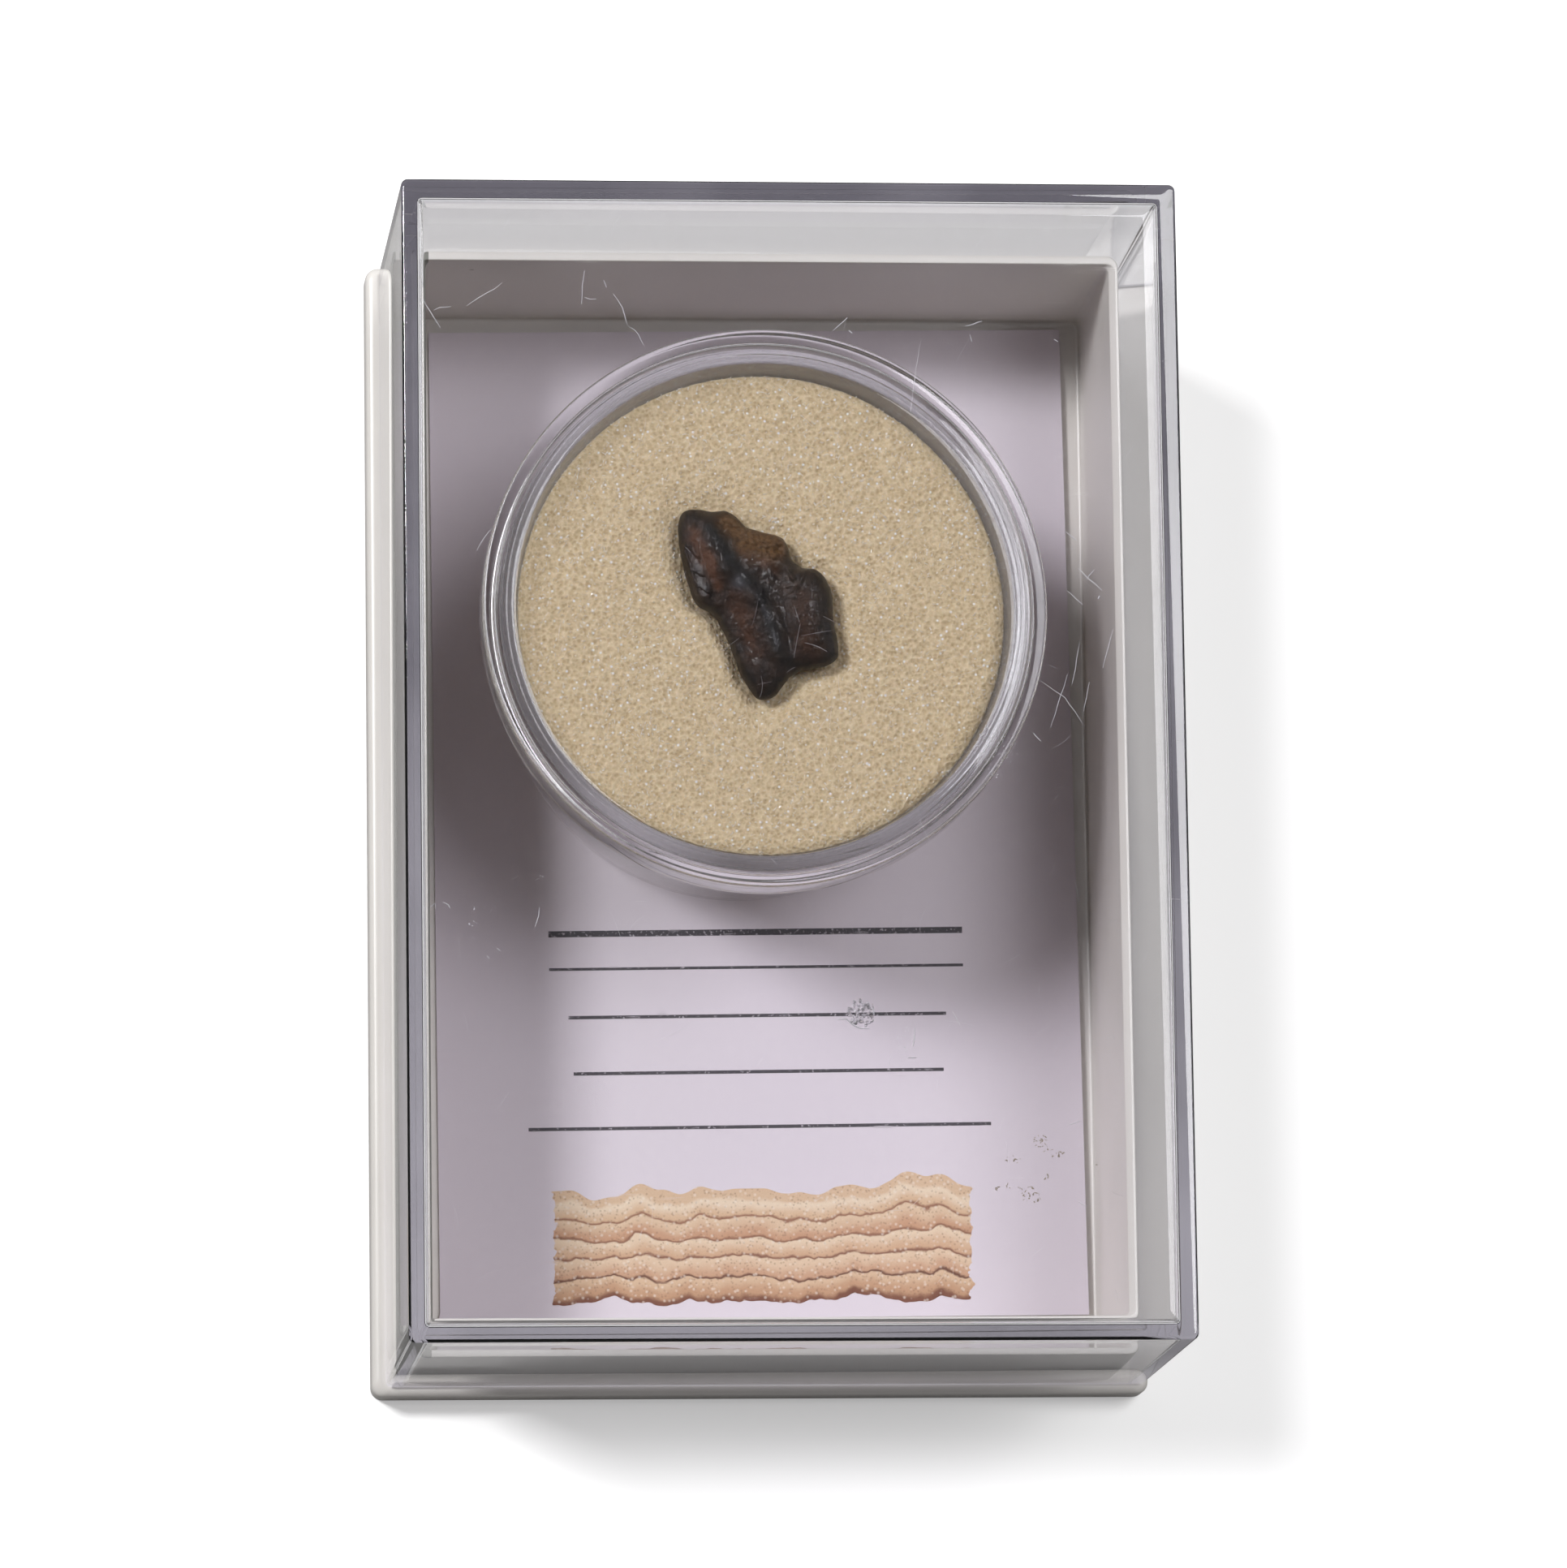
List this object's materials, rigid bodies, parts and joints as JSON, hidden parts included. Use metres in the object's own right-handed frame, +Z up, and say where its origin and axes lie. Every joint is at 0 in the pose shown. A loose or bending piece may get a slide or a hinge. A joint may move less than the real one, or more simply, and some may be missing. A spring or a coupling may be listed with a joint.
{
  "type": "display_box_with_fossil_tooth",
  "caption": "A dark brown leptoceratops tooth on a cream foam pad in a clear round jar, in a clear-lidded display box with a plain specimen card",
  "frame": {"origin": "The centre of the tray's flat underside, where the box stands.", "axes": "+X to the right seen from the front, +Y to the back, +Z up; the box is longest along Y and lowest along Z."},
  "size_m": [0.0588, 0.0868, 0.0345],
  "materials": {
    "tray_plastic": "off-white moulded polystyrene, satin to glossy",
    "lid_clear_plastic": "clear injection-moulded polystyrene, polished, lightly scratched",
    "card_paper": "pale lavender-white card, matt",
    "cup_clear_plastic": "clear moulded polystyrene, polished",
    "cap_clear_plastic": "clear moulded polystyrene, polished, finely scratched",
    "foam_cream": "open-cell cream foam, matt with small glints",
    "tooth_fossil": "dark brown fossil enamel and dentine under a glossy consolidant coat"
  },
  "bodies": {
    "root": {"box_base": "tray_plastic", "box_lid": "lid_clear_plastic", "label_card": "card_paper", "jar_base": "cup_clear_plastic", "jar_lid": "cap_clear_plastic", "foam_pad": "foam_cream", "tooth": "tooth_fossil"}
  },
  "joints": []
}
